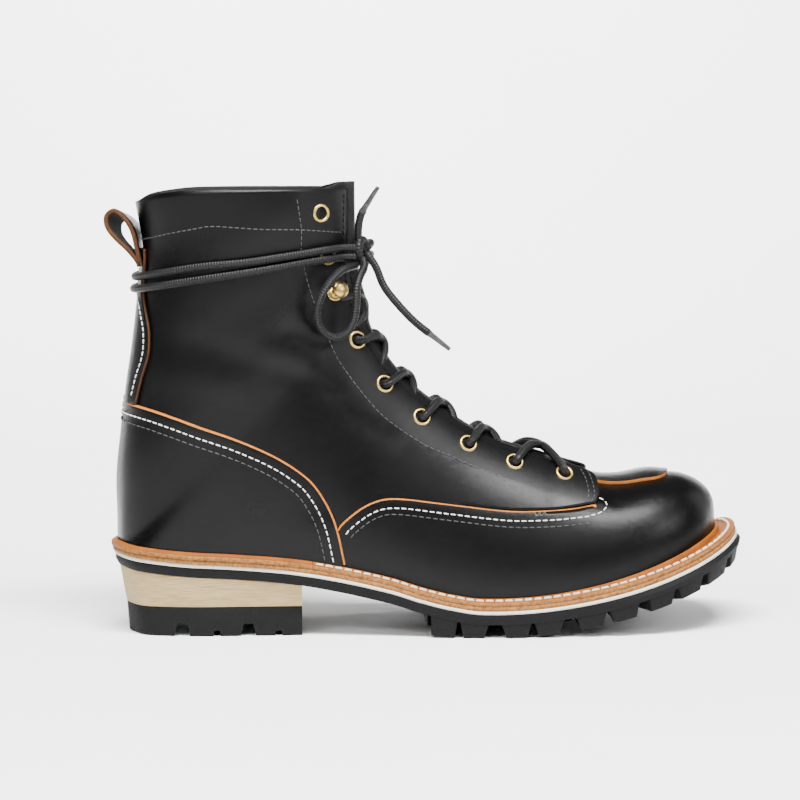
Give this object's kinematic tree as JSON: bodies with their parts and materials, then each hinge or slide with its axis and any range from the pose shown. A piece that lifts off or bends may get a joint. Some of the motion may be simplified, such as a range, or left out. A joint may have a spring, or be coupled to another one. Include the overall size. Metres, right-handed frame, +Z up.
{
  "type": "work boot",
  "caption": "Ankle-high lace-up leather work boot with a welted sole, stacked heel, lugged rubber outsole, counter cover, pull loop and laced throat.",
  "frame": {"origin": "centre of the boot's bounding rectangle on the floor, without the free lace", "axes": "+X from the heel to the toe, +Y to the wearer's inner (medial) side, +Z up"},
  "size_m": [0.3076, 0.1098, 0.2166],
  "materials": {
    "upper_leather": "smooth waxed full grain, near black",
    "welt_leather": "raw orange-brown edge and welt",
    "stacked_leather": "natural stacked leather, matte",
    "insole_leather": "matte",
    "cream_rubber": "matte cream",
    "rubber": "matte charcoal",
    "brass": "polished",
    "lace": "round braided, waxed black"
  },
  "bodies": {
    "root": {"outsole": "rubber", "cream_midsole": "cream_rubber", "leather_midsole": "welt_leather", "welt": "welt_leather", "heel_rand": "welt_leather", "heel_stack": "stacked_leather", "heel_top_piece": "rubber", "insole": "insole_leather", "upper": "upper_leather", "vamp": "upper_leather", "counter_cover": "upper_leather", "backstay": "upper_leather", "tongue": "upper_leather", "toe_tab": "upper_leather", "eyelet_outer_1": "brass", "eyelet_outer_2": "brass", "hook_outer_3": "brass", "eyelet_outer_4": "brass", "eyelet_outer_5": "brass", "eyelet_outer_6": "brass", "eyelet_outer_7": "brass", "eyelet_outer_8": "brass", "eyelet_outer_9": "brass", "eyelet_inner_1": "brass", "eyelet_inner_2": "brass", "hook_inner_3": "brass", "eyelet_inner_4": "brass", "eyelet_inner_5": "brass", "eyelet_inner_6": "brass", "eyelet_inner_7": "brass", "eyelet_inner_8": "brass", "eyelet_inner_9": "brass", "lace_crossing_1": "lace", "lace_crossing_2": "lace", "lace_crossing_3": "lace", "lace_crossing_4": "lace", "lace_crossing_5": "lace", "lace_crossing_6": "lace", "lace_turn_upper": "lace", "lace_turn_lower": "lace", "lace_knot": "lace", "lace_loop_outer": "lace", "lace_loop_inner": "lace", "lace_end_upper": "lace", "lace_end_lower": "lace"}
  },
  "joints": []
}
